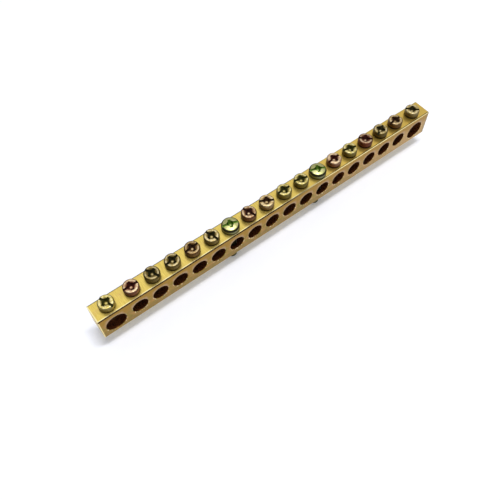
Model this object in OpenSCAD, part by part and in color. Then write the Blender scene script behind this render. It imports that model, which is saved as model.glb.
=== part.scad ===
// Terminal bar: a drilled brass bar whose clamping screws hold wires in its cross holes.
// X runs along the bar, Z is up, and the origin is midway between the mounting screws, on the underside.

/* [Bar] */
// Depth of the bar from front to back
bar_w = 6; // [5:0.1:10]
// Height of the bar
bar_h = 9; // [8.5:0.1:14]
// Chamfer that breaks the four long edges
edge_break = 0.2; // [0.05:0.05:0.5]

/* [Spacing] */
// Distance between neighbouring terminals
pitch = 6.4; // [6:0.1:10]
// Distance from each feed terminal to its neighbour
end_pitch = 7.45; // [6.8:0.05:12]
// Metal from the centre of the left feed terminal to that end of the bar
left_margin = 4.45; // [3.8:0.05:8]
// Metal from the centre of the right feed terminal to that end of the bar
right_margin = 5.05; // [3.8:0.05:8]

/* [Wire holes] */
// Diameter of the wire holes
wire_hole_d = 4.8; // [4.2:0.1:5.6]
// Metal left under the wire holes
wire_floor = 2.2; // [1:0.05:2.4]
// Diameter of the two large holes at the ends
feed_hole_d = 6.1; // [4.5:0.1:7]
// Metal left under the large holes
feed_floor = 1.05; // [0.4:0.05:1.2]
// Countersink that takes the burr off each mouth
mouth_break = 0.15; // [0.05:0.05:0.3]

/* [Clamping screws] */
// Thread diameter
thread_d = 3.8; // [3:0.1:4.1]
// Room between thread and tapped hole on each side
thread_clear = 0.05; // [0.02:0.01:0.1]
// Length below the head
screw_len = 5.3; // [5:0.1:8]
// How far the head stands out past the thread
head_lip = 0.3; // [0.3:0.05:0.6]
// Height of the head
head_h = 1.75; // [1.3:0.05:2.5]
// Bevel round the top of the head
head_bevel = 0.4; // [0.1:0.05:0.6]
// Bevel at the screw's tip
tip_bevel = 0.4; // [0.1:0.05:0.8]
// Gap left under the heads of the wire terminals
terminal_rise = 0.45; // [0:0.05:2]
// Gap left under the heads of the feed terminals
feed_rise = 0.4; // [0:0.05:2]
// Countersink at the top of each tapped hole
lead_in = 0.15; // [0.05:0.05:0.25]

/* [Screw recess] */
// Width of the straight slot
slot_w = 0.7; // [0.4:0.05:1]
// Depth of the straight slot
slot_depth = 0.55; // [0.3:0.05:1.1]
// Reach of the cross from tip to tip
cross_span = 2.9; // [1.6:0.1:3]
// Reach of the cross at its floor
cross_floor = 1.1; // [0.6:0.1:1.5]
// Width of the cross's wings
cross_w = 0.85; // [0.5:0.05:1]
// Diameter of the cone between the wings, at the top
cone_d = 1.9; // [1.2:0.1:2.2]
// Depth of the cross
cross_depth = 0.95; // [0.6:0.05:1.2]

/* [Mounting screws] */
// Thread diameter
mount_thread_d = 3; // [2.6:0.1:3.4]
// Diameter of the plain shank inside the bar
mount_shank_d = 2.6; // [2:0.1:3]
// Room between thread and bar on each side, so that the screw drops through
mount_clear = 0.2; // [0.1:0.05:0.4]
// Threaded length below the bar
mount_reach = 4.3; // [3:0.1:12]
// How far the head stands out past the hole
mount_lip = 0.9; // [0.5:0.05:1.2]
// Height of the head
mount_head_h = 2.2; // [1.8:0.05:2.8]
// Height of the straight side of the head, below its sloping shoulder
mount_side_h = 1.4; // [0.8:0.05:1.6]
// Height of the dome on top of the head, over its full width
mount_dome_h = 0.5; // [0.3:0.05:1.1]

/* [Hidden] */
$fn = 48;

// Stations counted from the left, feed terminals first and last
stations = 18;
last = stations - 1;
mount_stations = [6, 11];
terminal_stations = [
    for (i = [1 : last - 1]) if (len(search(i, mount_stations)) == 0) i
];

// Spare length that carries a cutting shape past the face it opens
cut = 0.1;
// Turn of each screw after the one before it, so that no two slots line up
turn_step = 137.5;

inner_span = (stations - 3) * pitch;
bar_left = -inner_span / 2 - end_pitch - left_margin;
bar_l = inner_span + 2 * end_pitch + left_margin + right_margin;
tapped_d = thread_d + 2 * thread_clear;
head_d = tapped_d + 2 * head_lip;
mount_hole_d = mount_thread_d + 2 * mount_clear;
mount_head_d = mount_hole_d + 2 * mount_lip;
dome_r = (pow(mount_head_d / 2, 2) + pow(mount_dome_h, 2)) / (2 * mount_dome_h);

brass = "#CDAA52";
zinc_yellow = "#A8965C";
zinc_bright = "#C7CDA6";

function is_feed(i) = i == 0 || i == last;
function is_mount(i) = len(search(i, mount_stations)) > 0;
function station_x(i) =
    i == 0 ? -inner_span / 2 - end_pitch :
    i == last ? inner_span / 2 + end_pitch :
    (i - 1) * pitch - inner_span / 2;
function hole_d(i) = is_feed(i) ? feed_hole_d : wire_hole_d;
function hole_floor(i) = is_feed(i) ? feed_floor : wire_floor;
function hole_z(i) = hole_floor(i) + hole_d(i) / 2;

// Cone that opens a hole of diameter d by size at the plane z = 0, with the hole below
module mouth(d, size) {
    translate([0, 0, -size - cut])
        cylinder(r1 = d / 2 - cut, r2 = d / 2 + size + cut, h = size + 2 * cut);
}

// Cross-section of the drawn bar, standing on its lower edge
module bar_section() {
    half = bar_w / 2;
    polygon([
        [edge_break - half, 0], [half - edge_break, 0],
        [half, edge_break], [half, bar_h - edge_break],
        [half - edge_break, bar_h], [edge_break - half, bar_h],
        [-half, bar_h - edge_break], [-half, edge_break]
    ]);
}

// Hole for a wire, right through the bar from front to back
module wire_hole(i) {
    translate([station_x(i), 0, hole_z(i)])
        rotate([90, 0, 0]) {
            cylinder(d = hole_d(i), h = bar_w + 2 * cut, center = true);
            for (side = [0, 1])
                mirror([0, 0, side])
                    translate([0, 0, bar_w / 2])
                        mouth(hole_d(i), mouth_break);
        }
}

// Tapped hole from the top down into the wire hole
module tapped_hole(i) {
    translate([station_x(i), 0, hole_z(i)])
        cylinder(d = tapped_d, h = bar_h - hole_z(i) + cut);
    translate([station_x(i), 0, bar_h])
        mouth(tapped_d, lead_in);
}

// Plain hole for a mounting screw, right through the bar from top to bottom
module mount_hole(i) {
    translate([station_x(i), 0, -cut])
        cylinder(d = mount_hole_d, h = bar_h + 2 * cut);
}

// Four wings and the cone between them, narrowing towards the floor, sunk from the plane z = 0
module cross_recess() {
    cone_slope = (cone_d - cross_floor) / cross_depth;
    translate([0, 0, -cross_depth])
        cylinder(d1 = cross_floor, d2 = cone_d + cone_slope * cut, h = cross_depth + cut);
    for (turn = [0, 90])
        rotate([90, 0, turn])
            linear_extrude(cross_w, center = true)
                polygon([
                    [-cross_span / 2, cut], [cross_span / 2, cut],
                    [cross_span / 2, 0], [cross_floor / 2, -cross_depth],
                    [-cross_floor / 2, -cross_depth], [-cross_span / 2, 0]
                ]);
}

// Straight slot across the whole head, sunk from the plane z = 0
module slot_recess() {
    translate([-head_d / 2 - cut, -slot_w / 2, -slot_depth])
        cube([head_d + 2 * cut, slot_w, slot_depth + cut]);
}

// Turned clamping screw with its head's underside at z = 0
module clamping_screw() {
    shaft = thread_d / 2;
    rim = head_d / 2;
    difference() {
        rotate_extrude()
            polygon([
                [0, -screw_len], [shaft - tip_bevel, -screw_len],
                [shaft, tip_bevel - screw_len], [shaft, 0],
                [rim, 0], [rim, head_h - head_bevel],
                [rim - head_bevel, head_h], [0, head_h]
            ]);
        translate([0, 0, head_h]) {
            cross_recess();
            slot_recess();
        }
    }
}

// Head with a straight side, a sloping shoulder and a low dome, standing on z = 0
module pan_head() {
    rim = mount_head_d / 2;
    shoulder_h = mount_head_h - mount_side_h;
    intersection() {
        rotate_extrude()
            polygon([
                [0, 0], [rim, 0], [rim, mount_side_h],
                [rim - shoulder_h, mount_head_h], [0, mount_head_h]
            ]);
        translate([0, 0, mount_head_h - dome_r])
            sphere(r = dome_r);
    }
}

// Pan-head mounting screw with its head's underside at z = 0
module mounting_screw() {
    shank = mount_shank_d / 2;
    thread = mount_thread_d / 2;
    tip = -bar_h - mount_reach;
    difference() {
        union() {
            pan_head();
            rotate_extrude()
                polygon([
                    [0, tip], [thread - tip_bevel, tip],
                    [thread, tip + tip_bevel], [thread, -bar_h],
                    [shank, -bar_h], [shank, cut], [0, cut]
                ]);
        }
        translate([0, 0, mount_head_h])
            cross_recess();
    }
}

// Clamping screw of a station, standing proud of the bar by its own gap
module station_screw(i) {
    color(zinc_yellow)
        translate([station_x(i), 0, bar_h + (is_feed(i) ? feed_rise : terminal_rise)])
            rotate(i * turn_step)
                clamping_screw();
}

// Mounting screw of a station, with its head seated on the bar
module station_mount(i) {
    color(zinc_bright)
        translate([station_x(i), 0, bar_h])
            rotate(i * turn_step)
                mounting_screw();
}

module terminal_bar() {
    color(brass)
        difference() {
            translate([bar_left, 0, 0])
                rotate([90, 0, 90])
                    linear_extrude(bar_l)
                        bar_section();
            for (i = [0 : last]) {
                wire_hole(i);
                if (is_mount(i))
                    mount_hole(i);
                else
                    tapped_hole(i);
            }
        }
}

module feed_screw_left() { station_screw(0); }
module feed_screw_right() { station_screw(last); }
module terminal_screw_01() { station_screw(terminal_stations[0]); }
module terminal_screw_02() { station_screw(terminal_stations[1]); }
module terminal_screw_03() { station_screw(terminal_stations[2]); }
module terminal_screw_04() { station_screw(terminal_stations[3]); }
module terminal_screw_05() { station_screw(terminal_stations[4]); }
module terminal_screw_06() { station_screw(terminal_stations[5]); }
module terminal_screw_07() { station_screw(terminal_stations[6]); }
module terminal_screw_08() { station_screw(terminal_stations[7]); }
module terminal_screw_09() { station_screw(terminal_stations[8]); }
module terminal_screw_10() { station_screw(terminal_stations[9]); }
module terminal_screw_11() { station_screw(terminal_stations[10]); }
module terminal_screw_12() { station_screw(terminal_stations[11]); }
module terminal_screw_13() { station_screw(terminal_stations[12]); }
module terminal_screw_14() { station_screw(terminal_stations[13]); }
module mount_screw_left() { station_mount(mount_stations[0]); }
module mount_screw_right() { station_mount(mount_stations[1]); }

terminal_bar();
feed_screw_left();
feed_screw_right();
terminal_screw_01();
terminal_screw_02();
terminal_screw_03();
terminal_screw_04();
terminal_screw_05();
terminal_screw_06();
terminal_screw_07();
terminal_screw_08();
terminal_screw_09();
terminal_screw_10();
terminal_screw_11();
terminal_screw_12();
terminal_screw_13();
terminal_screw_14();
mount_screw_left();
mount_screw_right();
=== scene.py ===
"""Dresses the terminal bar: a drilled brass bar, its plated screws, and a pale studio floor."""

import logging
import math
from collections.abc import Mapping, Sequence
from dataclasses import dataclass, field
from enum import Enum, IntEnum
from typing import Any, ClassVar

import bmesh
import bpy
import numpy as np
from mathutils import Matrix, Vector


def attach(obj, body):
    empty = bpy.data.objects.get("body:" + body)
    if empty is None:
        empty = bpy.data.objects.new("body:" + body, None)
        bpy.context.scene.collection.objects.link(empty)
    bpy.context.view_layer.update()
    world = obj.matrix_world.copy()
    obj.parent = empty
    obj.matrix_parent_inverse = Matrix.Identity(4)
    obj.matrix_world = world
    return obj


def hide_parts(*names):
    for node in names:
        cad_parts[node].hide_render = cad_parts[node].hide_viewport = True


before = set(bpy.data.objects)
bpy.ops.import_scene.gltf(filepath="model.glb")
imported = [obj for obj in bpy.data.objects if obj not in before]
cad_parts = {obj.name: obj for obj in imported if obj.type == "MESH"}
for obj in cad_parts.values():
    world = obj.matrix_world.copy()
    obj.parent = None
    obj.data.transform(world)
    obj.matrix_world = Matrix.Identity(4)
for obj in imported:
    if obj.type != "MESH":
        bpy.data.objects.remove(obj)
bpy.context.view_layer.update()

log = logging.getLogger("terminal_bar")

# Sizes below are in millimetres, and meshes are in metres.
MM = 0.001
# Points closer than this, in metres, become one.
WELD = 1e-6

# A colour is linear red, green and blue. A triple goes along X, Y and Z.
Colour = tuple[float, float, float]
Triple = tuple[float, float, float]
Pair = tuple[float, float]

# Sockets of a Mix node that carry colours.
MIX_SHARE, MIX_A, MIX_B, MIX_RESULT = 0, 6, 7, 2
# Noise swings about this value.
NOISE_MIDDLE = 0.5


class Signal:
    """A shader socket that takes part in Python arithmetic, one Math node an operation."""

    def __init__(self, bench: "ShaderBench", socket: bpy.types.NodeSocket) -> None:
        """Wraps a socket of the bench's node tree."""
        self.bench = bench
        self.socket = socket

    def __add__(self, other: "Signal | float") -> "Signal":
        """Sum of two values."""
        return self.bench.maths("ADD", self, other)

    def __radd__(self, other: float) -> "Signal":
        """Sum with a plain number on the left."""
        return self.bench.maths("ADD", other, self)

    def __sub__(self, other: "Signal | float") -> "Signal":
        """Difference of two values."""
        return self.bench.maths("SUBTRACT", self, other)

    def __rsub__(self, other: float) -> "Signal":
        """Difference with a plain number on the left."""
        return self.bench.maths("SUBTRACT", other, self)

    def __mul__(self, other: "Signal | float") -> "Signal":
        """Product of two values."""
        return self.bench.maths("MULTIPLY", self, other)

    def __rmul__(self, other: float) -> "Signal":
        """Product with a plain number on the left."""
        return self.bench.maths("MULTIPLY", other, self)


class ShaderBench:
    """Builds one node tree from expressions."""

    def __init__(self, tree: bpy.types.NodeTree) -> None:
        """Starts from an empty tree.

        Args:
            tree: node tree of a material or of the world.
        """
        self.tree = tree
        tree.nodes.clear()

    def add(
        self,
        kind: str,
        settings: Mapping[str, Any] | None = None,
        sockets: Mapping[str | int, Any] | None = None,
        output: str | int = 0,
    ) -> Signal:
        """Adds a node, sets it up, then fills or links its inputs.

        Args:
            kind: Blender's name of the node type.
            settings: properties of the node, set first.
            sockets: input names or numbers, each with a plain value or a Signal.
            output: name or number of the output that is wanted.

        Returns:
            The chosen output.
        """
        node = self.tree.nodes.new(kind)
        for key, value in (settings or {}).items():
            setattr(node, key, value)
        for key, value in (sockets or {}).items():
            if isinstance(value, Signal):
                self.tree.links.new(value.socket, node.inputs[key])
            elif isinstance(value, tuple) and node.inputs[key].type == "RGBA":
                node.inputs[key].default_value = (*value, 1.0)
            else:
                node.inputs[key].default_value = value
        return Signal(self, node.outputs[output] if node.outputs else None)

    def maths(self, operation: str, a: Signal | float, b: Signal | float) -> Signal:
        """One Math node on two values."""
        return self.add("ShaderNodeMath", {"operation": operation}, {0: a, 1: b})

    def mix(self, share: Signal | float, a: Signal | Colour, b: Signal | Colour) -> Signal:
        """Colour a turned into colour b by share."""
        sockets = {MIX_SHARE: share, MIX_A: a, MIX_B: b}
        return self.add("ShaderNodeMix", {"data_type": "RGBA"}, sockets, MIX_RESULT)

    def step(self, value: Signal, low: float, high: float) -> Signal:
        """Smooth rise from 0 at low to 1 at high."""
        return self.add(
            "ShaderNodeMapRange",
            {"interpolation_type": "SMOOTHSTEP"},
            {"Value": value, "From Min": low, "From Max": high},
        )

    def place(self) -> Signal:
        """Object coordinates, in metres."""
        return self.add("ShaderNodeTexCoord", output="Object")

    def along(self, axis: str) -> Signal:
        """One object coordinate, in millimetres."""
        split = self.add("ShaderNodeSeparateXYZ", None, {"Vector": self.place()}, axis)
        return split * (1 / MM)

    def grain(self, size: Triple, detail: float = 2.0) -> Signal:
        """Noise whose grains measure about size, in millimetres along X, Y and Z."""
        scale = tuple(1 / (MM * s) for s in size)
        where = self.add("ShaderNodeMapping", None, {"Vector": self.place(), "Scale": scale})
        return self.add(
            "ShaderNodeTexNoise", None, {"Vector": where, "Scale": 1.0, "Detail": detail}, "Fac"
        )

    def mark(self, name: str) -> Signal:
        """A value that the mesh carries on its points."""
        return self.add("ShaderNodeAttribute", {"attribute_name": name}, None, "Fac")

    def relief(self, height: Signal, depth: float) -> Signal:
        """Normal of a relief that is depth millimetres from floor to crest."""
        return self.add(
            "ShaderNodeBump", None, {"Strength": 1.0, "Distance": depth * MM, "Height": height}
        )

    def surface(self, sockets: Mapping[str, Any]) -> None:
        """Closes a material with one Principled shader."""
        shader = self.add("ShaderNodeBsdfPrincipled", None, sockets)
        self.add("ShaderNodeOutputMaterial", None, {"Surface": shader})


class Finish:
    """A look that can be painted as a material."""

    def paint(self, name: str) -> bpy.types.Material:
        """Makes the material.

        Args:
            name: name of the material.

        Returns:
            The new material.
        """
        material = bpy.data.materials.new(name)
        material.use_nodes = True
        self.wire(ShaderBench(material.node_tree))
        return material

    def wire(self, bench: ShaderBench) -> None:
        """Adds the finish's nodes."""
        raise NotImplementedError


@dataclass(frozen=True)
class MilledBrass(Finish):
    """Bright top of the bar, with fine marks across it, a few stains along it, and painted
    highlights and dark reflections along its edges.
    """

    bright: Colour = (0.84, 0.64, 0.155)
    dull: Colour = (0.66, 0.48, 0.10)
    stain: Colour = (0.70, 0.47, 0.16)
    warm: Colour = (0.80, 0.52, 0.10)
    # Painted dark reflection along the back edge of the top.
    rim: Colour = (0.25, 0.21, 0.07)
    # Painted highlight on the front edge's left part and on the left end.
    edge_highlight: Colour = (0.96, 0.84, 0.42)
    # Painted dark reflection on the front edge's right part.
    edge_dark_reflection: Colour = (0.16, 0.10, 0.02)
    grain_size: Triple = (0.10, 1.6, 1.6)
    grain_detail: float = 3.0
    grain_band: Pair = (0.3, 0.72)
    stain_size: Triple = (4.0, 2.0, 2.0)
    stain_band: Pair = (0.5, 0.72)
    stain_share: float = 0.5
    warm_run: Pair = (-15.0, 40.0)
    warm_share: float = 0.7
    rear_reflection_band: Pair = (2.55, 2.8)
    rear_reflection_share: float = 0.75
    edge_band: Pair = (2.5, 2.62)
    edge_run: Pair = (0.0, 25.0)
    end_band: Pair = (-59.55, -59.7)
    metallic: float = 0.92
    roughness: float = 0.24
    roughness_swing: float = 0.12
    relief_depth: float = 0.002

    def wire(self, bench: ShaderBench) -> None:
        """Cross grain of two brasses, broad stains, a warmer right half, then painted highlights
        and dark reflections along the edges.

        Args:
            bench: where the material's nodes go.
        """
        cut = bench.grain(self.grain_size, self.grain_detail)
        spot = bench.step(bench.grain(self.stain_size), *self.stain_band)
        brass = bench.mix(bench.step(cut, *self.grain_band), self.dull, self.bright)
        brass = bench.mix(spot * self.stain_share, brass, self.stain)
        right = bench.step(bench.along("X"), *self.warm_run)
        brass = bench.mix(right * self.warm_share, brass, self.warm)
        # Painted dark reflection: the back strip of the top turns dark olive.
        rear = bench.step(bench.along("Y"), *self.rear_reflection_band)
        brass = bench.mix(rear * self.rear_reflection_share, brass, self.rim)
        # Front strip of the top: painted highlight to the left, painted dark reflection to the
        # right.
        front = bench.step(0.0 - bench.along("Y"), *self.edge_band)
        edge = bench.mix(bench.step(bench.along("X"), *self.edge_run), self.edge_highlight, self.edge_dark_reflection)
        brass = bench.mix(front, brass, edge)
        # Painted highlight along the left end of the top.
        left = bench.step(bench.along("X"), *self.end_band)
        bench.surface({
            "Base Color": bench.mix(left, brass, self.edge_highlight),
            "Metallic": self.metallic,
            "Roughness": self.roughness + self.roughness_swing * cut,
            "Normal": bench.relief(cut, self.relief_depth),
        })


@dataclass(frozen=True)
class DrawnBrass(Finish):
    """Tan sides of the bar, with streaks, painted highlights round the holes' mouths, and a painted
    dark reflection under the top edge.
    """

    rose: Colour = (0.44, 0.220, 0.046)
    olive: Colour = (0.245, 0.188, 0.008)
    gold: Colour = (0.37, 0.195, 0.001)
    # Painted shade: the lower part of the sides is darker, except towards the right end.
    painted_low_shade: Colour = (0.24, 0.150, 0.024)
    # Painted light: the sides grow paler towards the right end.
    pale: Colour = (0.54, 0.335, 0.125)
    # Painted highlight: a paler ring on the upper half of each hole's mouth.
    mouth: Colour = (0.46, 0.31, 0.19)
    # Painted highlight: bright specks on the lower lip of each hole.
    lip_highlight: Colour = (0.85, 0.68, 0.40)
    # Painted dark reflection: a dark line just under the top edge, on the left part of the bar.
    line: Colour = (0.12, 0.055, 0.005)
    # Painted shade on the crest of the top edge, damping the lamp's highlight there.
    crest: Colour = (0.028, 0.013, 0.002)
    # Painted highlight colour for the top edge's right part, the bottom edge and the left end.
    edge_highlight: Colour = (0.95, 0.80, 0.38)
    end_shade: Colour = (0.30, 0.23, 0.10)
    detail: float = 3.0
    streak_size: Triple = (3.0, 0.25, 0.25)
    cloud_size: Triple = (1.5, 1.5, 1.1)
    cloud_band: Pair = (0.38, 0.62)
    cloud_share: float = 0.75
    gold_band: Pair = (5.0, 7.4)
    gold_share: float = 0.92
    painted_low_shade_band: Pair = (3.2, 1.6)
    painted_low_shade_share: float = 0.55
    painted_light_run: Pair = (0.0, 62.0)
    painted_light_share: float = 0.75
    mouth_highlight_band: Pair = (5.0, 6.5)
    mouth_highlight_near: Pair = (0.5, 1.0)
    mouth_highlight_share: float = 0.7
    lip_highlight_size: Triple = (0.4, 0.4, 0.4)
    lip_highlight_band: Pair = (0.52, 0.66)
    lip_highlight_near: Pair = (0.8, 1.0)
    dark_reflection_band: Pair = (8.5, 8.65)
    crest_shade_band: Pair = (8.82, 8.88)
    # Painted highlight along the top edge on the right part of the bar.
    highlight_band: Pair = (8.76, 8.84)
    highlight_run: Pair = (0.0, 25.0)
    # Painted reflection of the floor along the bottom edge.
    foot_reflection_band: Pair = (0.25, 0.1)
    foot_reflection_share: float = 0.6
    # Painted highlight along the left end.
    end_band: Pair = (-59.6, -59.75)
    shade_run: Pair = (58.9, 60.3)
    shade_share: float = 0.6
    metallic: float = 0.8
    roughness: float = 0.34
    roughness_swing: float = 0.16
    relief_depth: float = 0.010

    def wire(self, bench: ShaderBench) -> None:
        """Clouds of two tans, gold above, painted light to the right and painted shade below and at
        the right end, then painted highlights at the mouths, and painted highlights, reflections
        and shade along the edges.

        Args:
            bench: where the material's nodes go.
        """
        height = bench.along("Z")
        near = bench.mark("near")
        streak = bench.grain(self.streak_size, self.detail)
        cloud = bench.step(bench.grain(self.cloud_size, self.detail), *self.cloud_band)
        tan = cloud * self.cloud_share + streak * (1.0 - self.cloud_share)
        brass = bench.mix(tan, self.olive, self.rose)
        # Painted light: paler towards the right end.
        right = bench.step(bench.along("X"), *self.painted_light_run)
        brass = bench.mix(right * self.painted_light_share, brass, self.pale)
        brass = bench.mix(bench.step(height, *self.gold_band) * self.gold_share, brass, self.gold)
        # Painted shade on the lower part of the sides.
        low = bench.step(height, *self.painted_low_shade_band) * (1.0 - right)
        brass = bench.mix(low * self.painted_low_shade_share, brass, self.painted_low_shade)
        # Painted highlight round the upper half of each hole's mouth.
        over = bench.step(height, *self.mouth_highlight_band)
        ring = bench.step(near, *self.mouth_highlight_near) * over
        brass = bench.mix(ring * self.mouth_highlight_share, brass, self.mouth)
        # Painted highlight: specks on the lower lip of each hole.
        spot = bench.step(bench.grain(self.lip_highlight_size), *self.lip_highlight_band)
        under = bench.step(near, *self.lip_highlight_near) * (1.0 - over)
        brass = bench.mix(spot * under, brass, self.lip_highlight)
        across = bench.along("X")
        shade = bench.step(across, *self.shade_run) * self.shade_share
        brass = bench.mix(shade, brass, self.end_shade)
        # Painted reflection of the floor along the bottom edge, then a painted highlight on the
        # left end.
        brass = bench.mix(bench.step(height, *self.foot_reflection_band) * self.foot_reflection_share, brass, self.edge_highlight)
        brass = bench.mix(bench.step(across, *self.end_band), brass, self.edge_highlight)
        # Right of here the top edge takes a painted highlight instead of the dark line.
        highlight_side = bench.step(across, *self.highlight_run)
        # Painted dark reflection under the top edge and painted shade on its crest, both left of
        # the highlight side.
        dark = bench.step(height, *self.dark_reflection_band) * (1.0 - highlight_side)
        brass = bench.mix(dark, brass, self.line)
        crest = bench.step(height, *self.crest_shade_band) * (1.0 - highlight_side)
        brass = bench.mix(crest, brass, self.crest)
        brass = bench.mix(bench.step(height, *self.highlight_band) * highlight_side, brass, self.edge_highlight)
        bench.surface({
            "Base Color": brass,
            "Metallic": self.metallic + (1.0 - self.metallic) * dark,
            "Roughness": self.roughness + self.roughness_swing * streak,
            "Normal": bench.relief(streak, self.relief_depth),
        })


@dataclass(frozen=True)
class DrilledBrass(Finish):
    """Dark walls of the holes, oxide darkened as painted shade, ringed by the drill and the tap."""

    # Brown and near-black: oxide darkened further as painted shade inside the holes.
    brown: Colour = (0.18, 0.048, 0.009)
    black: Colour = (0.042, 0.010, 0.002)
    speck_size: Triple = (0.35, 0.2, 0.35)
    speck_band: Pair = (0.4, 0.62)
    ring_size: Triple = (9.0, 0.16, 9.0)
    ring_detail: float = 1.0
    metallic: float = 0.55
    specular: float = 0.2
    roughness: float = 0.42
    roughness_swing: float = 0.2
    relief_depth: float = 0.03

    def wire(self, bench: ShaderBench) -> None:
        """Specks of oxide, darkened as painted shade, over rings round the hole."""
        ring = bench.grain(self.ring_size, self.ring_detail)
        speck = bench.step(bench.grain(self.speck_size), *self.speck_band)
        bench.surface({
            "Base Color": bench.mix(speck, self.black, self.brown),
            "Metallic": self.metallic,
            "Specular IOR Level": self.specular,
            "Roughness": self.roughness + self.roughness_swing * speck,
            "Normal": bench.relief(ring, self.relief_depth),
        })


@dataclass(frozen=True)
class SawnBrass(Finish):
    """Ends of the bar, ruled by the saw."""

    bright: Colour = (0.72, 0.55, 0.19)
    dull: Colour = (0.52, 0.37, 0.11)
    rule_size: Triple = (5.0, 5.0, 0.12)
    rule_band: Pair = (0.3, 0.7)
    metallic: float = 0.78
    roughness: float = 0.36
    roughness_swing: float = 0.18
    relief_depth: float = 0.02

    def wire(self, bench: ShaderBench) -> None:
        """Level saw lines in two brasses."""
        rule = bench.grain(self.rule_size)
        bench.surface({
            "Base Color": bench.mix(bench.step(rule, *self.rule_band), self.dull, self.bright),
            "Metallic": self.metallic,
            "Roughness": self.roughness + self.roughness_swing * rule,
            "Normal": bench.relief(rule, self.relief_depth),
        })


@dataclass(frozen=True)
class ZincPlate(Finish):
    """Plated steel with two tints that drift over it, dark where soiling and painted shade lie.

    The points' mark says what the plate takes: the recess tone below 0, then painted shade, then
    soiling with the deepest painted shade.
    """

    light: Colour
    flush: Colour
    # Painted shade: colour of head sides, bevels and the ring round the recess, also taken as
    # tarnish by duller screws.
    shade: Colour
    # Soiling with the deepest painted shade: recess walls, neck and thread.
    deep_shade_and_dirt: Colour
    # Recess tone: on the mounting screws a green tint darkened as painted shade; the pale default
    # is a painted glint that no clamping screw's marks reach.
    pit: Colour = (0.88, 0.80, 0.60)
    pit_band: Pair = (-0.1, -0.4)
    shade_band: Pair = (0.12, 0.5)
    deep_shade_band: Pair = (0.55, 1.0)
    drift_size: Triple = (0.7, 0.7, 0.7)
    drift_band: Pair = (0.38, 0.62)
    speck_size: Triple = (0.16, 0.16, 0.16)
    speck_share: float = 0.2
    metallic: float = 0.92
    shade_and_dirt_metallic: float = 0.5
    roughness: float = 0.40
    roughness_swing: float = 0.1
    shade_and_dirt_roughness: float = 0.3
    specular: float = 0.15
    relief_depth: float = 0.006

    def wire(self, bench: ShaderBench) -> None:
        """Drifting tints and specks, the recess tone, then painted shade on sides and thread, then
        soiling with the deepest painted shade.

        Args:
            bench: where the material's nodes go.
        """
        drift = bench.step(bench.grain(self.drift_size), *self.drift_band)
        speck = bench.grain(self.speck_size)
        mark = bench.mark("near") + (speck - NOISE_MIDDLE) * self.speck_share
        plate = bench.mix(drift, self.light, self.flush)
        # Recess tone where marks fall below 0: tint with painted shade.
        plate = bench.mix(bench.step(mark, *self.pit_band), plate, self.pit)
        # Painted shade on sides, bevels and round the recess.
        plate = bench.mix(bench.step(mark, *self.shade_band), plate, self.shade)
        # Soiling with the deepest painted shade.
        shade_and_dirt = bench.step(mark, *self.deep_shade_band)
        rough = self.roughness + self.roughness_swing * speck
        bench.surface({
            "Base Color": bench.mix(shade_and_dirt, plate, self.deep_shade_and_dirt),
            "Metallic": self.metallic - self.shade_and_dirt_metallic * shade_and_dirt,
            "Roughness": rough + self.shade_and_dirt_roughness * shade_and_dirt,
            "Specular IOR Level": self.specular,
            "Normal": bench.relief(speck, self.relief_depth),
        })


@dataclass(frozen=True)
class Paper(Finish):
    """Pale floor that shows white to the eye and to metal, and keeps the shadow."""

    white: Colour = (0.905, 0.915, 0.975)
    glow: float = 1.35
    glow_share: float = 0.1

    def wire(self, bench: ShaderBench) -> None:
        """Matt paper with a little light of its own for rays that show it.

        Args:
            bench: where the material's nodes go.
        """
        seen, glossy, passed = (
            bench.add("ShaderNodeLightPath", None, None, f"Is {ray} Ray")
            for ray in ("Camera", "Glossy", "Transmission")
        )
        shown = seen + glossy + passed
        matt = bench.add("ShaderNodeBsdfDiffuse", None, {"Color": self.white})
        glow = bench.add("ShaderNodeEmission", None, {"Strength": self.glow})
        both = bench.add(
            "ShaderNodeMixShader", None, {0: shown * self.glow_share, 1: matt, 2: glow}
        )
        bench.add("ShaderNodeOutputMaterial", None, {"Surface": both})


class Tint(Enum):
    """Tints that the yellow plate takes from screw to screw."""

    # Each tint: light and flush plate, the colour of painted shade, and the colour of soiling with
    # the deepest painted shade.
    GREEN = ZincPlate(
        (0.80, 0.69, 0.34), (0.52, 0.42, 0.11), (0.12, 0.09, 0.016), (0.030, 0.032, 0.004)
    )
    OLIVE = ZincPlate(
        (0.74, 0.62, 0.35), (0.46, 0.34, 0.12), (0.10, 0.068, 0.016), (0.020, 0.017, 0.004)
    )
    BROWN = ZincPlate(
        (0.74, 0.59, 0.34), (0.46, 0.31, 0.12), (0.11, 0.055, 0.016), (0.030, 0.012, 0.004)
    )
    RED = ZincPlate(
        (0.76, 0.61, 0.38), (0.50, 0.31, 0.17), (0.11, 0.032, 0.016), (0.038, 0.007, 0.004)
    )
    PURPLE = ZincPlate(
        (0.74, 0.59, 0.36), (0.46, 0.27, 0.13), (0.11, 0.045, 0.018), (0.034, 0.009, 0.006)
    )
    BRIGHT = ZincPlate(
        (0.56, 0.54, 0.25), (0.45, 0.44, 0.16), (0.15, 0.15, 0.07), (0.024, 0.020, 0.006),
        # The mounting screws' recess: green, darkened as painted shade.
        roughness=0.38, pit=(0.10, 0.19, 0.020),
    )


class Axis(IntEnum):
    """Coordinates of a point."""

    X = 0
    Y = 1
    Z = 2


class Coat(IntEnum):
    """Material slots of the bar."""

    TOP = 0
    SIDE = 1
    BORE = 2
    END = 3


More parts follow.
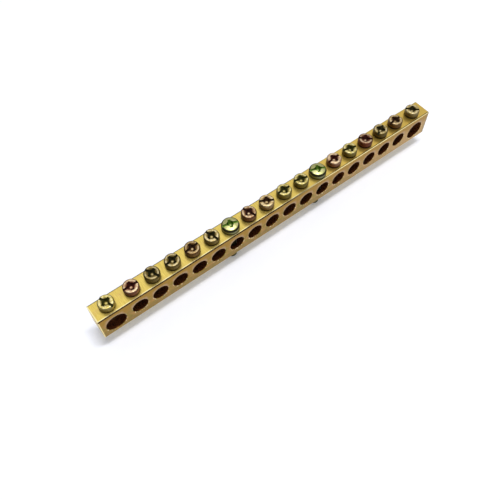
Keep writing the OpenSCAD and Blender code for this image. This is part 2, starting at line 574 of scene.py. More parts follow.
class Skin:
    """Gathers grids of points into one welded, closed mesh."""

    def __init__(self) -> None:
        """Starts with no faces."""
        self.points: list[np.ndarray] = []
        self.quads: list[np.ndarray] = []
        self.coats: list[np.ndarray] = []
        self.smooth: list[np.ndarray] = []
        self.marks: list[np.ndarray] = []
        self.count = 0

    def add(
        self,
        grid: np.ndarray,
        coat: int = 0,
        smooth: bool = False,
        closed: bool = False,
        mark: np.ndarray | float = 0.0,
    ) -> None:
        """Adds the quads between the neighbours of a grid.

        Args:
            grid: points in millimetres, by row and column.
            coat: material slot of its faces.
            smooth: whether its faces are shaded as a curve.
            closed: whether the last column joins the first.
            mark: value carried on the points, one for each or one for all.
        """
        rows, columns = grid.shape[:2]
        index = self.count + np.arange(rows * columns).reshape(rows, columns)
        if closed:
            index = np.concatenate([index, index[:, :1]], axis=1)
        corners = (index[:-1, :-1], index[:-1, 1:], index[1:, 1:], index[1:, :-1])
        quads = np.stack(corners, axis=-1).reshape(-1, 4)
        self.points.append(grid.reshape(-1, 3))
        self.quads.append(quads)
        self.coats.append(np.full(len(quads), int(coat)))
        self.smooth.append(np.full(len(quads), smooth))
        self.marks.append(np.broadcast_to(mark, (rows, columns)).ravel())
        self.count += rows * columns

    def build(self, name: str, coats: Sequence[bpy.types.Material]) -> bpy.types.Object:
        """Welds the grids and makes the object.

        Args:
            name: name of the piece.
            coats: its materials, in the order of the slots.

        Returns:
            The new object, at the origin.
        """
        quads = np.concatenate(self.quads)
        mesh = bpy.data.meshes.new(name)
        mesh.vertices.add(self.count)
        mesh.vertices.foreach_set("co", (np.concatenate(self.points) * MM).ravel())
        mesh.loops.add(quads.size)
        mesh.loops.foreach_set("vertex_index", quads.ravel())
        mesh.polygons.add(len(quads))
        mesh.polygons.foreach_set("loop_start", np.arange(0, quads.size, 4))
        mesh.polygons.foreach_set("material_index", np.concatenate(self.coats))
        mesh.polygons.foreach_set("use_smooth", np.concatenate(self.smooth))
        near = mesh.attributes.new("near", "FLOAT", "POINT")
        near.data.foreach_set("value", np.concatenate(self.marks).astype(np.float32))
        mesh.update(calc_edges=True)
        shell = bmesh.new()
        shell.from_mesh(mesh)
        bmesh.ops.remove_doubles(shell, verts=shell.verts, dist=WELD)
        bmesh.ops.dissolve_degenerate(shell, edges=shell.edges, dist=WELD)
        bmesh.ops.recalc_face_normals(shell, faces=shell.faces)
        shell.to_mesh(mesh)
        shell.free()
        for material in coats:
            mesh.materials.append(material)
        piece = bpy.data.objects.new(name, mesh)
        bpy.context.scene.collection.objects.link(piece)
        return piece


def spread(start: np.ndarray, end: np.ndarray, steps: int) -> np.ndarray:
    """Rows that go in equal steps from one loop of points to another.

    Args:
        start: points of the first row.
        end: points of the last row.
        steps: number of steps between them.

    Returns:
        Array of steps + 1 rows.
    """
    share = np.linspace(0.0, 1.0, steps + 1)[:, None, None]
    return (1 - share) * start + share * end


def rectangle_loop(across: np.ndarray, up: np.ndarray, first: int) -> np.ndarray:
    """Points round a rectangle, anticlockwise from one of them.

    Args:
        across: rising values along the lower and upper sides.
        up: rising values along the left and right sides.
        first: place in the loop, counted from the lower left corner, that comes first.

    Returns:
        Array of points with two coordinates.
    """
    lower = np.stack([across[:-1], np.full(len(across) - 1, up[0])], axis=-1)
    right = np.stack([np.full(len(up) - 1, across[-1]), up[:-1]], axis=-1)
    upper = np.stack([across[:0:-1], np.full(len(across) - 1, up[-1])], axis=-1)
    left = np.stack([np.full(len(up) - 1, across[0]), up[:0:-1]], axis=-1)
    return np.roll(np.concatenate([lower, right, upper, left]), -first, axis=0)


def lift(flat: np.ndarray, level: np.ndarray | float, axis: Axis) -> np.ndarray:
    """Gives flat points the coordinate that they lack.

    Args:
        flat: points with two coordinates.
        level: the third coordinate, for each point or for all.
        axis: which coordinate that is.

    Returns:
        Points with three coordinates.
    """
    parts = [flat[..., 0], flat[..., 1]]
    parts.insert(axis, level)
    return np.stack(np.broadcast_arrays(*parts), axis=-1)


def sheet(first: np.ndarray, second: np.ndarray, level: float, axis: Axis) -> np.ndarray:
    """Flat grid of points across an axis, at one level of it.

    Args:
        first: values of the first other coordinate.
        second: values of the second other coordinate.
        level: where the grid lies.
        axis: the axis that it lies across.

    Returns:
        Points by row and column.
    """
    return lift(np.stack(np.meshgrid(first, second, indexing="ij"), axis=-1), level, axis)


def revolve(radius: np.ndarray, turn: np.ndarray, height: np.ndarray) -> np.ndarray:
    """Points about the Z axis: radius x cosine and radius x sine of the angle, and the height.

    Args:
        radius: distances from the axis.
        turn: angles in radians.
        height: heights along the axis.

    Returns:
        Points by row and column.
    """
    flat = np.stack([radius * np.cos(turn), radius * np.sin(turn)], axis=-1)
    return lift(flat, height, Axis.Z)


@dataclass(frozen=True)
class Station:
    """One place along the bar, with its wire hole and the hole that its screw goes down."""

    index: int
    x: float
    wire_r: float
    wire_z: float
    screw_r: float
    mount: bool


@dataclass
class Row:
    """Spacing of the stations along the bar."""

    count: int = 18
    mounts: tuple[int, ...] = (6, 11)
    pitch: float = 6.4
    end_pitch: float = 7.45
    left_margin: float = 4.45
    right_margin: float = 5.05
    wire_d: float = 4.8
    wire_floor: float = 2.2
    feed_d: float = 6.1
    feed_floor: float = 1.05
    tapped_d: float = 3.9
    mount_hole_d: float = 3.4

    @property
    def left(self) -> float:
        """Place of the bar's left end."""
        return self.station(0).x - self.left_margin

    @property
    def right(self) -> float:
        """Place of the bar's right end."""
        return self.station(self.count - 1).x + self.right_margin

    def is_feed(self, index: int) -> bool:
        """Whether a station is one of the two large ones at the ends."""
        return index in (0, self.count - 1)

    def station(self, index: int) -> Station:
        """Works out one station.

        Args:
            index: place in the row, from 0 at the left.

        Returns:
            Its holes and where they are.
        """
        inner = (self.count - 3) * self.pitch / 2
        x = (index - 1) * self.pitch - inner
        if self.is_feed(index):
            x = math.copysign(inner + self.end_pitch, x)
        wire_r = (self.feed_d if self.is_feed(index) else self.wire_d) / 2
        floor = self.feed_floor if self.is_feed(index) else self.wire_floor
        mount = index in self.mounts
        screw_r = (self.mount_hole_d if mount else self.tapped_d) / 2
        return Station(index, x, wire_r, floor + wire_r, screw_r, mount)

    def stations(self) -> list[Station]:
        """All stations from left to right."""
        return [self.station(index) for index in range(self.count)]


@dataclass
class TerminalBar:
    """The drilled bar, made of one cell of faces for each station."""

    row: Row
    width: float = 6.0
    height: float = 9.0
    edge_round: float = 0.2
    mouth_round: float = 0.15
    lead_in: float = 0.15
    across: int = 16
    up: int = 16
    deep: int = 8
    half_opening: int = 12
    face_steps: int = 3
    wall_steps: int = 6
    drop_steps: int = 3
    round_steps: int = 4
    skin: Skin = field(default_factory=Skin)

    @property
    def half(self) -> float:
        """Half the bar's width."""
        return self.width / 2

    @property
    def levels(self) -> np.ndarray:
        """Heights of the points on the flat part of a side."""
        return np.linspace(self.edge_round, self.height - self.edge_round, self.up + 1)

    @property
    def depths(self) -> np.ndarray:
        """Places of the points across the flat part of the top."""
        flat = self.half - self.edge_round
        return np.linspace(-flat, flat, self.deep + 1)

    @property
    def quarter(self) -> np.ndarray:
        """Angles of the points on a quarter round."""
        return np.linspace(0, math.pi / 2, self.round_steps + 1)

    def cell(self, station: Station) -> np.ndarray:
        """Places of the points along a station's cell, from midway to each neighbour.

        Args:
            station: the station in the middle of the cell.

        Returns:
            Rising values of X.
        """
        low, high = self.row.left, self.row.right
        if station.index > 0:
            low = (self.row.station(station.index - 1).x + station.x) / 2
        if station.index < self.row.count - 1:
            high = (self.row.station(station.index + 1).x + station.x) / 2
        return np.linspace(low, high, self.across + 1)

    def wire_angles(self, station: Station) -> np.ndarray:
        """Angles round a wire hole, from its top, anticlockwise as seen from the front.

        Over the screw's hole, and under it at a mount, the angles are those at which the wire
        hole meets points in equal steps round the screw's hole: sine of angle = screw radius x
        sine of step / wire radius. The rest of the circle is shared out evenly.

        Args:
            station: the station of the hole.

        Returns:
            One angle for each point of the cell's outline, in radians.
        """
        share = station.screw_r / station.wire_r
        step = np.linspace(0, math.pi / 2, self.half_opening + 1)
        opening = np.arcsin(share * np.sin(step))
        rest = self.across + self.up - self.half_opening
        if station.mount:
            rest -= self.half_opening
            sides = np.linspace(opening[-1], math.pi - opening[-1], rest + 1)
            half = np.concatenate([opening, sides[1:], math.pi - opening[-2::-1]])
        else:
            sides = np.linspace(opening[-1], math.pi, rest + 1)
            half = np.concatenate([opening, sides[1:]])
        return np.concatenate([half, 2 * math.pi - half[-2:0:-1]])

    def side(self, station: Station, facing: int) -> None:
        """Face of one cell round its wire hole, the hole's mouth, and its wall to the middle.

        Rings go in equal steps from the cell's outline to a circle, roll over the mouth by a
        quarter round, and run inwards until they meet the middle of the bar or the edge of the
        screw's hole, which lies at the square root of (screw radius squared less x squared) from
        the middle.

        Args:
            station: the station of the cell.
            facing: -1 for the front and 1 for the back.
        """
        turn = self.wire_angles(station)
        ring = np.stack([-np.sin(turn), np.cos(turn)], axis=-1)
        first = self.across + self.up + self.across // 2
        outline = rectangle_loop(self.cell(station), self.levels, first)
        centre = np.array([station.x, station.wire_z])
        rim = centre + (station.wire_r + self.mouth_round) * ring
        face = lift(spread(outline, rim, self.face_steps), facing * self.half, Axis.Y)
        near = np.linspace(0, 1, len(face))[:, None]
        self.skin.add(face, Coat.SIDE, closed=True, mark=near)

        roll = self.quarter[:, None]
        radius = station.wire_r + self.mouth_round * (1 - np.sin(roll))
        sunk = self.half - self.mouth_round * (1 - np.cos(roll))
        lip = lift(centre + radius[..., None] * ring, facing * sunk, Axis.Y)
        self.skin.add(lip, Coat.SIDE, smooth=True, closed=True, mark=1.0)

        x = station.wire_r * ring[:, 0]
        gap = np.sqrt(np.maximum(station.screw_r**2 - x**2, 0))
        meets = (np.cos(turn) > 0) | station.mount
        start = np.full_like(x, self.half - self.mouth_round)
        depth = spread(start[:, None], np.where(meets, gap, 0)[:, None], self.wall_steps)
        wall = lift(centre + station.wire_r * ring, facing * depth[..., 0], Axis.Y)
        self.skin.add(wall, Coat.BORE, smooth=True, closed=True)

    def screw_hole(self, station: Station, up: int) -> None:
        """Wall of the screw's hole from the wire hole outwards, and the flat face round it.

        The inner edge lies on the wire hole: height = centre +/- square root of (wire radius
        squared - x squared).

        Args:
            station: the station of the hole.
            up: 1 for the top and -1 for the underside.
        """
        steps = 4 * self.half_opening
        turn = np.arange(steps) * (2 * math.pi / steps)
        ring = np.stack([np.cos(turn), np.sin(turn)], axis=-1)
        centre = np.array([station.x, 0.0])
        face_z = self.height if up > 0 else 0.0
        lip = centre + station.screw_r * ring
        x = station.screw_r * ring[:, 0]
        inner = lift(lip, station.wire_z + up * np.sqrt(station.wire_r**2 - x**2), Axis.Z)
        outer = lift(lip, face_z - up * self.lead_in, Axis.Z)
        wall = spread(inner, outer, self.drop_steps)
        self.skin.add(wall, Coat.BORE, smooth=True, closed=True)

        roll = self.quarter[:, None]
        radius = station.screw_r + self.lead_in * (1 - np.cos(roll))
        rise = face_z - up * self.lead_in * (1 - np.sin(roll))
        mouth = lift(centre + radius[..., None] * ring, rise, Axis.Z)
        self.skin.add(mouth, Coat.TOP, smooth=True, closed=True)

        outline = rectangle_loop(self.cell(station), self.depths, self.across + self.deep // 2)
        rim = centre + (station.screw_r + self.lead_in) * ring
        face = lift(spread(rim, outline, self.face_steps), face_z, Axis.Z)
        self.skin.add(face, Coat.TOP if up > 0 else Coat.SIDE, closed=True)

    def underside(self, station: Station) -> None:
        """Plain face under a cell: a level grid."""
        self.skin.add(sheet(self.cell(station), self.depths, 0.0, Axis.Z), Coat.SIDE)

    def long_edges(self) -> None:
        """Four rounded edges: a quarter circle carried along the bar."""
        cells = [self.cell(station)[:-1] for station in self.row.stations()]
        x = np.concatenate([*cells, [self.row.right]])[:, None]
        middle = self.height / 2
        out = self.half - self.edge_round * (1 - np.cos(self.quarter))
        over = middle - self.edge_round * (1 - np.sin(self.quarter))
        for facing in (-1, 1):
            for up in (-1, 1):
                edge = np.stack([facing * out, middle + up * over], axis=-1)
                self.skin.add(lift(edge, x, Axis.X), Coat.SIDE, smooth=True)

    def ends(self) -> None:
        """Sawn ends: level grids, with a fan of faces in each rounded corner."""
        wide = np.concatenate([[-self.half], self.depths, [self.half]])
        low = np.array([0.0, self.edge_round])
        high = np.array([self.height - self.edge_round, self.height])
        bands = ((wide, self.levels), (self.depths, low), (self.depths, high))
        corner = self.edge_round * np.stack([np.cos(self.quarter), np.sin(self.quarter)], axis=-1)
        for end in (self.row.left, self.row.right):
            for across, up in bands:
                self.skin.add(sheet(across, up, end, Axis.X), Coat.END)
            for y in (self.depths[0], self.depths[-1]):
                for z in (self.levels[0], self.levels[-1]):
                    way = np.array([math.copysign(1, y), math.copysign(1, z - self.height / 2)])
                    fan = np.array([y, z]) + np.stack([np.zeros_like(corner), corner * way])
                    self.skin.add(lift(fan, end, Axis.X), Coat.END)

    def build(self) -> bpy.types.Object:
        """Builds the whole bar.

        Returns:
            The finished piece.
        """
        for station in self.row.stations():
            for facing in (-1, 1):
                self.side(station, facing)
            self.screw_hole(station, 1)
            if station.mount:
                self.screw_hole(station, -1)
            else:
                self.underside(station)
        self.long_edges()
        self.ends()
        coats = {
            Coat.TOP: MilledBrass(),
            Coat.SIDE: DrawnBrass(),
            Coat.BORE: DrilledBrass(),
            Coat.END: SawnBrass(),
        }
        painted = [coats[coat].paint(f"brass_{coat.name.lower()}") for coat in Coat]
        return self.skin.build("bar_drilled", painted)


@dataclass
class Recess:
    """Driver recess in a screw's head: a cone, four wings, and a slot right across.

    A wing has seven points across it: edge, wall top and wall foot, its middle line, and the same
    three again.
    """

    WINGS: ClassVar[int] = 4
    WING_SIDES: ClassVar[tuple[int, ...]] = (-1, -1, -1, 0, 1, 1, 1)
    WALL_TOPS: ClassVar[list[int]] = [1, 5]
    WING_FLOOR: ClassVar[slice] = slice(2, 5)

    span: float = 2.9
    floor_span: float = 1.1
    wing_w: float = 0.85
    cone_d: float = 1.9
    depth: float = 0.95
    slot_w: float = 0.7
    slot_depth: float = 0.55
    edge: float = 0.04
    wall_lean: float = 0.02
    island_steps: int = 6

    @property
    def core_r(self) -> float:
        """Distance from the middle to the corner between two wings."""
        return self.wing_w / math.sqrt(2)

    def slope(self, along: np.ndarray, reach: float) -> np.ndarray:
        """Depth at a distance from the middle: level, then a straight slope up to nothing at reach.

        Args:
            along: distances from the middle.
            reach: distance at which the slope comes up to the top.

        Returns:
            Depth at each distance.
        """
        return self.depth * np.clip((reach - along) / (reach - self.floor_span / 2), 0, 1)

    def layout(
        self, radius: np.ndarray, inside: np.ndarray
    ) -> tuple[np.ndarray, np.ndarray, np.ndarray]:
        """Places points round each ring so that they follow the edges of the wings.

        A point at a distance d beside a wing's middle line lies at the angle whose sine is d /
        radius, up to half a right angle, and the points between two wings share out what is left.
        The deepest of cone, wing and slot counts.

        Args:
            radius: radius of each ring.
            inside: whether each ring lies within the corners between the wings.

        Returns:
            Angles, depths of the recess, and depths of the wall tops, all by ring and point.
        """
        ring = radius[:, None, None]
        wings = np.arange(self.WINGS)[:, None]
        slotted = np.where(wings % 2 == 0, self.slot_depth, 0.0)[None]
        along = np.broadcast_to(ring, (len(radius), self.WINGS, 1))
        cross = self.slope(along, self.span / 2)
        cone = self.slope(along, self.cone_d / 2)
        half = np.where(cross > slotted, self.wing_w, self.slot_w) / 2
        half = np.where(slotted > 0, half, self.wing_w / 2)
        spare = np.array([self.edge, 0, -self.wall_lean, 0, -self.wall_lean, 0, self.edge])
        offset = np.array(self.WING_SIDES) * (half + spare)
        limit = math.sqrt(0.5)
        lean = np.arcsin(np.clip(offset / np.maximum(ring, WELD), -limit, limit))
        wing = lean + wings * math.pi / 2
        start = wing[..., -1:]
        finish = np.roll(wing[..., :1], -1, axis=1)
        finish = finish + np.where(wings == self.WINGS - 1, 2 * math.pi, 0)
        share = np.arange(1, self.island_steps) / self.island_steps
        island = start + share * (finish - start)
        angles = np.concatenate([wing, island], axis=2)

        floor = np.maximum(np.maximum(cross, slotted), cone)
        sunk = np.broadcast_to(cone, angles.shape).copy()
        sunk[..., self.WING_FLOOR] = floor
        tops = np.zeros(angles.shape)
        tops[..., self.WALL_TOPS] = np.minimum(self.edge, floor - cone)
        sunk = np.where(inside[:, None, None], floor, sunk)
        tops = np.where(inside[:, None, None], 0, tops)
        rings = len(radius)
        return angles.reshape(rings, -1), sunk.reshape(rings, -1), tops.reshape(rings, -1)


@dataclass
class Screw:
    """A screw about its own axis, with the underside of its head at height 0.

    The mark goes from 0 on clean plate through painted shade to 1 for soiling with the deepest
    painted shade, and below 0 for the tinted recess of a mounting screw.
    It is given by height on the head, by share of the recess's core on its floor, and by radius
    round the recess.
    """

    recess: Recess
    length: float
    thread_r: float
    thread_pitch: float
    thread_depth: float
    head_r: float
    head_h: float
    side_levels: tuple[float, ...]
    face_steps: int
    round_steps: int
    cone_steps: int = 4
    floor_rings: tuple[float, ...] = (0.0, 0.45, 0.86, 1.0)
    foot: tuple[Pair, ...] = ((0.0, 0.08), (0.06, 0.03), (0.1, 0.015))
    tip_bevel: float = 0.4
    turn_rows: int = 10
    crest_share: float = 0.15
    flank_share: float = 0.7
    sharp_angle: float = 32.0
    # Painted shade by height: darker side and bevel under a lighter top.
    height_shade: tuple[Pair, ...] = (
        (0.0, 0.45), (1.25, 0.42), (1.5, 0.36), (1.72, 0.32), (1.75, 0.1)
    )
    # Painted shade on the recess walls, with soiling.
    recess_shade: float = 0.95
    # Painted shade with soiling on the neck and thread, under the head and inside the bar.
    neck_shade_and_dirt: float = 1.0
    # Painted shade on the recess floor, darker towards its walls.
    recess_floor_shade: tuple[Pair, ...] = ((0.0, 0.05), (0.45, 0.1), (0.86, 0.8))
    # Painted dark reflection on the flats round the recess, fading out by the halo's outer radius.
    halo_shade: float = 0.4
    halo: Pair = (0.95, 1.6)
    bare_from: float = math.inf
    # Less painted shade on the thread's crests below the bar.
    crest_shade: float = 0.64

    def head_profile(self) -> np.ndarray:
        """Radius and height of each ring of the head, from its middle to the underside."""
        raise NotImplementedError

    def face_radii(self, edge: float) -> np.ndarray:
        """Radii of the rings on top of the head, first over the recess's cone, then to an edge.

        Args:
            edge: radius at which the top ends.

        Returns:
            Rising radii.
        """
        cone = self.recess.cone_d / 2
        inner = np.linspace(self.recess.core_r, cone, self.cone_steps + 1)[1:]
        return np.concatenate([inner, np.linspace(cone, edge, self.face_steps + 1)[1:]])

    def side(self) -> np.ndarray:
        """Radius and height of the rings down the head's straight side and round its foot."""
        straight = [(self.head_r, level) for level in self.side_levels]
        return np.array(straight + [(self.head_r - inset, level) for inset, level in self.foot])

    def head(self) -> tuple[np.ndarray, np.ndarray]:
        """Rings of the head: the profile about the axis, lowered where the recess is sunk into it.

        Returns:
            Points by ring and angle, and the mark of painted shade and soiling on each.
        """
        core = self.recess.core_r
        inner = np.array(self.floor_rings) * core
        profile = self.head_profile()
        radius = np.concatenate([inner, profile[:, 0]])
        inside = np.arange(len(radius)) < len(inner)
        top = np.max(profile[:, 1])
        height = np.concatenate([np.full(len(inner), top), profile[:, 1]])[:, None]
        turn, sunk, tops = self.recess.layout(radius, inside)
        tops = np.where(height > top - self.recess.depth, tops, 0)
        z = np.where(sunk > 0, np.minimum(top - sunk - tops, height), height - tops)
        grid = revolve(radius[:, None], turn, z)
        # Painted dark reflection round the recess.
        halo = self.halo_shade * np.interp(radius, self.halo, (1.0, 0.0))[:, None]
        # Painted shade by height on the head, added to the ring round the recess.
        outer = halo + np.interp(height, *np.transpose(self.height_shade))
        # Painted shade on the recess floor.
        floor = np.interp(radius / core, *np.transpose(self.recess_floor_shade))[:, None]
        # Recess walls take painted shade; the rest takes the halo and the shade by height.
        shade_and_dirt = np.where(z < height - self.recess.edge, self.recess_shade, outer)
        return grid, np.where(inside[:, None], floor, shade_and_dirt)

    def shaft(self, turn: np.ndarray) -> np.ndarray:
        """Thread below the head, closed at the tip.

        The radius falls from the crest by a flattened triangle wave of (height / pitch - angle /
        full turn). The tip's bevel takes a cone off the end.

        Args:
            turn: angles of the columns.

        Returns:
            Points by row and angle.
        """
        rows = int(self.length / self.thread_pitch * self.turn_rows)
        z = -np.linspace(0, self.length, rows + 1)[:, None]
        wave = np.abs(2 * np.mod(z / self.thread_pitch - turn / (2 * math.pi), 1) - 1)
        groove = np.clip((wave - self.crest_share) / self.flank_share, 0, 1)
        cone = self.thread_r - self.tip_bevel + (z + self.length)
        radius = np.minimum(self.thread_r - self.thread_depth * groove, cone)
        grid = revolve(radius, turn, z)
        pole = np.broadcast_to(np.array([0.0, 0.0, -self.length]), (1, *grid.shape[1:]))
        return np.concatenate([grid, pole])

    def shaft_shade(self, shaft: np.ndarray) -> np.ndarray:
        """How dark the thread is, from soiling and painted shade: lighter on its crests where it
        stands out under the bar.

        Args:
            shaft: points of the shaft by row and angle.

        Returns:
            A value from 0 to 1 for each point.
        """
        radius = np.hypot(shaft[..., 0], shaft[..., 1])
        crest = np.clip(1 - (self.thread_r - radius) / self.thread_depth, 0, 1)
        bare = np.where(shaft[..., 2] < -self.bare_from, crest, 0)
        return self.neck_shade_and_dirt + (self.crest_shade - self.neck_shade_and_dirt) * bare

    def build(
        self, name: str, place: Vector, turned: float, plate: bpy.types.Material, dullness: float
    ) -> bpy.types.Object:
        """Builds the screw where it stands.

        Args:
            name: name of the piece.
            place: where the underside of its head lies, in millimetres.
            turned: how far it is screwed round, in degrees.
            plate: its finish.
            dullness: how much darker than a clean screw it is, from 0 to 1.

        Returns:
            The finished piece.
        """
        head, sunk = self.head()
        columns = np.arctan2(head[-1, :, 1], head[-1, :, 0])
        shaft = self.shaft(np.unwrap(columns))
        angle = math.radians(turned)
        cos, sin = math.cos(angle), math.sin(angle)
        spin = np.array([[cos, -sin, 0], [sin, cos, 0], [0, 0, 1]])
        join = np.stack([head[-1], shaft[0]])
        skin = Skin()
        # Painted shade and soiling along the thread.
        shade_and_dirt = self.shaft_shade(shaft)
        for grid, mark in ((head, sunk + dullness), (join, self.neck_shade_and_dirt), (shaft, shade_and_dirt)):
            skin.add(grid @ spin.T + np.array(place), smooth=True, closed=True, mark=mark)
        piece = skin.build(name, [plate])
        piece.data.set_sharp_from_angle(angle=math.radians(self.sharp_angle))
        return piece


@dataclass
class ClampingScrew(Screw):
    """Cheese-head screw with a cross and a slot, which presses a wire down."""

    recess: Recess = field(default_factory=Recess)
    length: float = 5.3
    thread_r: float = 1.9
    thread_pitch: float = 0.7
    thread_depth: float = 0.42
    head_r: float = 2.25
    head_h: float = 1.75
    side_levels: tuple[float, ...] = (0.9, 0.5)
    face_steps: int = 9
    round_steps: int = 5
    bevel: float = 0.4

    def head_profile(self) -> np.ndarray:
        """Flat top out to a rolled bevel, a straight side, and the underside.

        Returns:
            Radius and height of each ring.
        """
        flat = self.face_radii(self.head_r - self.bevel)
        face = np.stack([flat, np.full_like(flat, self.head_h)], axis=-1)
        roll = np.linspace(0, math.pi / 2, self.round_steps + 1)[1:]
        out = self.head_r - self.bevel * (1 - np.sin(roll))
        down = self.head_h - self.bevel * (1 - np.cos(roll))
        return np.concatenate([face, np.stack([out, down], axis=-1), self.side()])


@dataclass
class MountingScrew(Screw):
    """Domed screw with a cross and a slot, which goes through the bar into what carries it."""

    recess: Recess = field(default_factory=lambda: Recess(slot_depth=0.5))
    length: float = 13.3
    thread_r: float = 1.5
    thread_pitch: float = 0.5
    thread_depth: float = 0.28
    head_r: float = 2.6
    head_h: float = 2.2
    side_levels: tuple[float, ...] = (0.7, 0.3)
    face_steps: int = 11
    round_steps: int = 8
    dome_h: float = 0.5
    shoulder_r: float = 0.7
    # Painted shade by height: a dark ring on the shoulder and a darker foot.
    height_shade: tuple[Pair, ...] = (
        (0.0, 1.0), (0.45, 0.95), (0.7, 0.34), (1.15, 0.34), (1.35, 1.0), (1.8, 1.0), (1.885, 0.0)
    )
    # Recess walls take the green recess tone, darkened as painted shade.
    recess_shade: float = -0.9
    # Recess floor: green recess tone towards its walls, darkened as painted shade.
    recess_floor_shade: tuple[Pair, ...] = ((0.0, -0.1), (0.45, -0.2), (0.86, -0.9))
    # A touch of green recess tone round the recess, as painted shade.
    halo_shade: float = -0.2
    bare_from: float = 9.2

    def head_profile(self) -> np.ndarray:
        """Dome, a round shoulder that runs into it and into the straight side, and the underside.

        Dome: height = top - sphere radius + square root of (sphere radius squared - radius
        squared). The shoulder's centre lies its own radius inside both the dome and the side.

        Returns:
            Radius and height of each ring.
        """
        sphere = (self.head_r**2 + self.dome_h**2) / (2 * self.dome_h)
        inset = self.head_r - self.shoulder_r
        lean = math.asin(inset / (sphere - self.shoulder_r))
        flat = self.face_radii(sphere * math.sin(lean))
        dome = np.stack([flat, self.head_h - sphere + np.sqrt(sphere**2 - flat**2)], axis=-1)
        middle = self.head_h - sphere + (sphere - self.shoulder_r) * math.cos(lean)
        roll = np.linspace(lean, math.pi / 2, self.round_steps + 1)[1:]
        out = inset + self.shoulder_r * np.sin(roll)
        down = middle + self.shoulder_r * np.cos(roll)
        return np.concatenate([dome, np.stack([out, down], axis=-1), self.side()])


@dataclass
class ScrewSet:
    """All the screws of the bar, each turned as far as it was last driven."""

    row: Row
    bar_h: float = 9.0
    terminal_rise: float = 0.45
    feed_rise: float = 0.4
    turns: tuple[float, ...] = (
        113.0, 0.0, 118.0, 10.0, 5.0, 108.0, -16.0, 110.0, 150.0,
        0.0, 165.0, -23.5, 5.0, 165.0, 136.0, 25.0, 5.0, 135.0,
    )
    tints: tuple[Tint, ...] = (
        Tint.GREEN, Tint.RED, Tint.OLIVE, Tint.OLIVE, Tint.BROWN, Tint.OLIVE,
        Tint.BRIGHT, Tint.PURPLE, Tint.BROWN, Tint.GREEN, Tint.GREEN, Tint.BRIGHT,
        Tint.RED, Tint.GREEN, Tint.RED, Tint.OLIVE, Tint.BROWN, Tint.OLIVE,
    )
    dullness: tuple[float, ...] = (
        0.0, 0.08, 0.2, 0.16, 0.18, 0.08, 0.0, 0.12, 0.0,
        0.08, 0.08, 0.0, 0.0, 0.05, 0.16, 0.1, 0.08, 0.0,
    )

    def node_names(self) -> list[str]:
        """Names of the screws' nodes, from left to right."""
        last = self.row.count - 1
        names = {0: "feed_screw_left", last: "feed_screw_right"}
        names |= dict(zip(self.row.mounts, ("mount_screw_left", "mount_screw_right")))
        plain = [index for index in range(self.row.count) if index not in names]
        names |= {index: f"terminal_screw_{place:02d}" for place, index in enumerate(plain, 1)}
        return [names[index] for index in range(self.row.count)]

    def rise(self, station: Station) -> float:
        """How far a screw's head stands over the bar."""
        if station.mount:
            return 0.0
        return self.feed_rise if self.row.is_feed(station.index) else self.terminal_rise

    def build(self) -> list[tuple[str, bpy.types.Object]]:
        """Builds every screw.

        Returns:
            Each node's name with the piece that stands for it.
        """
        plates = {tint: tint.value.paint(f"plate_{tint.name.lower()}") for tint in Tint}
        made = []
        looks = zip(self.tints, self.dullness, self.turns)
        for station, node, look in zip(self.row.stations(), self.node_names(), looks):
            tint, dull, turned = look
            screw = MountingScrew() if station.mount else ClampingScrew()
            place = Vector((station.x, 0.0, self.bar_h + self.rise(station)))
            made.append((node, screw.build(f"{node}_plated", place, turned, plates[tint], dull)))
        return made


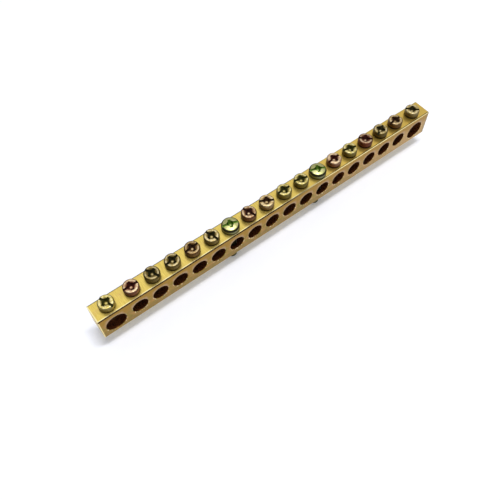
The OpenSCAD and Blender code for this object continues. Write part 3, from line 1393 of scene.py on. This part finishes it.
@dataclass
class Studio:
    """Floor, soft light and the camera at the photograph's view."""

    floor_z: float = -4.3
    floor_half: float = 3000.0
    sky_low: float = 0.36
    sky_high: float = 1.0
    horizon_fade: Pair = (0.1, 0.6)
    rear_fade: Pair = (0.85, 0.5)
    front_fade: Pair = (-0.65, -0.3)
    left_fade: Pair = (-0.3, 0.0)
    right_fade: Pair = (0.3, 0.75)
    right_share: float = 0.68
    sky_tint: Colour = (0.97, 0.995, 1.05)
    softbox_place: Triple = (55.0, -35.0, 800.0)
    softbox_aim: Triple = (0.0, 0.0, 0.0)
    softbox_size: Pair = (70.0, 300.0)
    softbox_power: float = 4.05
    eye: Triple = (-65.872, -75.024, 141.681)
    look: Triple = (-14.567, -7.012, 4.702)
    roll: float = -0.556
    lens: float = 41.368
    sensor: float = 36.0
    clip_near: float = 10.0

    def floor(self) -> None:
        """Lays the floor under the tips of the mounting screws."""
        edges = np.array([-self.floor_half, self.floor_half])
        skin = Skin()
        skin.add(sheet(edges, edges, self.floor_z, Axis.Z))
        floor = skin.build("studio_floor", [Paper().paint("floor_paper")])

    def sky(self) -> None:
        """Dim surroundings with one broad bright ceiling, which fades to all sides."""
        world = bpy.data.worlds.new("studio")
        world.use_nodes = True
        bench = ShaderBench(world.node_tree)
        way = bench.add("ShaderNodeTexCoord", output="Generated")
        right, rear, up = (
            bench.add("ShaderNodeSeparateXYZ", None, {"Vector": way}, axis) for axis in "XYZ"
        )
        ceiling = bench.step(up, *self.horizon_fade) * bench.step(rear, *self.front_fade)
        ceiling = ceiling * bench.step(rear, *self.rear_fade) * bench.step(right, *self.left_fade)
        ceiling = ceiling * (1.0 - self.right_share * bench.step(right, *self.right_fade))
        glow = self.sky_low + (self.sky_high - self.sky_low) * ceiling
        shade = bench.add("ShaderNodeBackground", None, {"Color": self.sky_tint, "Strength": glow})
        bench.add("ShaderNodeOutputWorld", None, {"Surface": shade})
        bpy.context.scene.world = world

    def softbox(self) -> None:
        """Hangs one soft lamp above the bar, a little to its right and front."""
        lamp = bpy.data.lights.new("softbox", "AREA")
        lamp.shape = "RECTANGLE"
        lamp.size, lamp.size_y = (side * MM for side in self.softbox_size)
        lamp.energy = self.softbox_power
        stand = bpy.data.objects.new("softbox", lamp)
        stand.location = Vector(self.softbox_place) * MM
        aim = Vector(self.softbox_aim) - Vector(self.softbox_place)
        stand.rotation_euler = aim.to_track_quat("-Z", "Y").to_euler()
        bpy.context.scene.collection.objects.link(stand)

    def camera(self) -> None:
        """Sets the camera at the photograph's view, with its small roll."""
        data = bpy.data.cameras.new("camera")
        data.sensor_width = self.sensor
        data.lens = self.lens
        data.clip_start = self.clip_near * MM
        eye = bpy.data.objects.new("camera", data)
        aim = Vector(self.look) - Vector(self.eye)
        roll = Matrix.Rotation(math.radians(self.roll), 3, "Z")
        turn = aim.to_track_quat("-Z", "Y").to_matrix() @ roll
        eye.matrix_world = Matrix.Translation(Vector(self.eye) * MM) @ turn.to_4x4()
        bpy.context.scene.collection.objects.link(eye)
        bpy.context.scene.camera = eye

    def build(self) -> None:
        """Sets up the whole studio."""
        self.floor()
        self.sky()
        self.softbox()
        self.camera()
        bpy.context.scene.view_settings.view_transform = "Standard"


def carry(piece: bpy.types.Object, node: str, body: str) -> None:
    """Puts a piece in the place of its node.

    Args:
        piece: the finished piece.
        node: node that it stands for.
        body: body that it moves with.
    """
    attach(piece, body)
    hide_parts(node)
    log.info("%s: %d faces on %s", piece.name, len(piece.data.polygons), body)


def main() -> None:
    """Builds the studio, the bar and its screws."""
    logging.basicConfig(level=logging.INFO, format="%(name)s %(message)s")
    Studio().build()
    row = Row()
    carry(TerminalBar(row).build(), "terminal_bar", "bar")
    for node, piece in ScrewSet(row).build():
        if node.startswith("mount"):
            carry(piece, node, "bar")
        else:
            carry(piece, node, node)


if __name__ == "__main__":
    main()
